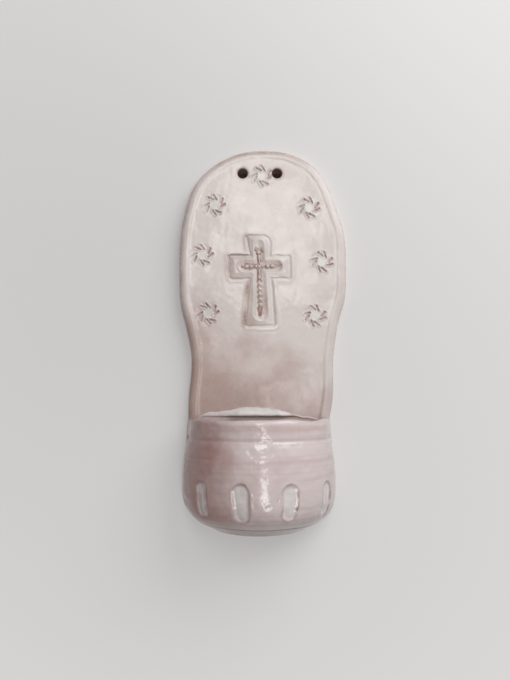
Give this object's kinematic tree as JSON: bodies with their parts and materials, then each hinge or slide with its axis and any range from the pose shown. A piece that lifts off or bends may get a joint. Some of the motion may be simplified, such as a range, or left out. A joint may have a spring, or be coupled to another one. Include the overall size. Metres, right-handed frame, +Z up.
{
  "type": "holy water stoup",
  "caption": "Wall-hung glazed earthenware stoup: arched slab back plate with an impressed cross above a thrown half bowl that holds water.",
  "frame": {"origin": "midway between the two hanging holes, on the plate's flat back face", "axes": "+Z up along the plate, +Y into the wall, -Y out of the wall towards the person, +X to that person's right"},
  "size_m": [0.0901, 0.0464, 0.2002],
  "materials": {
    "plate_glaze": "gloss",
    "bowl_glaze": "gloss",
    "coil_glaze": "gloss",
    "lip_glaze": "gloss"
  },
  "bodies": {
    "root": {"back_plate": "plate_glaze", "bowl": "bowl_glaze", "seam_coil": "coil_glaze", "back_lip": "lip_glaze"}
  },
  "joints": []
}
